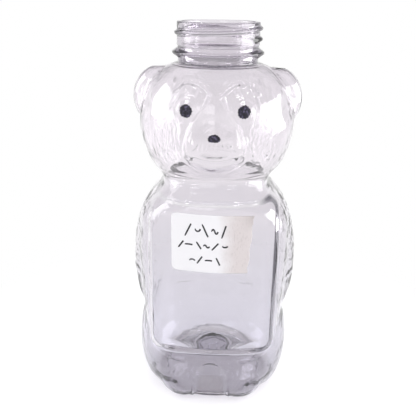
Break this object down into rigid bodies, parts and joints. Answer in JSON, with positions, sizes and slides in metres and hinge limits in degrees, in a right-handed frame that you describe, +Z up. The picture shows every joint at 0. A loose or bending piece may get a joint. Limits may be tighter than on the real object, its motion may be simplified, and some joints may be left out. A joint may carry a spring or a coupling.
{
  "type": "honey bear bottle",
  "caption": "Clear bear-shaped squeeze bottle, uncapped, with a threaded neck, ears, arms, feet, flat label panels, printed eyes and nose and a paper label.",
  "frame": {"origin": "on the neck's axis, at the level of the surface that the bottle stands on", "axes": "+Z up along the neck's axis, the bear's face towards -Y, +X towards the bear's left hand"},
  "size_m": [0.0746, 0.0663, 0.169],
  "materials": {
    "clear_plastic": "clear blown plastic, glossy, faintly grey",
    "black_ink": "printed ink, slightly mottled",
    "label_paper": "white uncoated paper sticker"
  },
  "bodies": {
    "root": {"bottle": "clear_plastic", "left_eye": "black_ink", "right_eye": "black_ink", "nose": "black_ink", "label": "label_paper"}
  },
  "joints": []
}
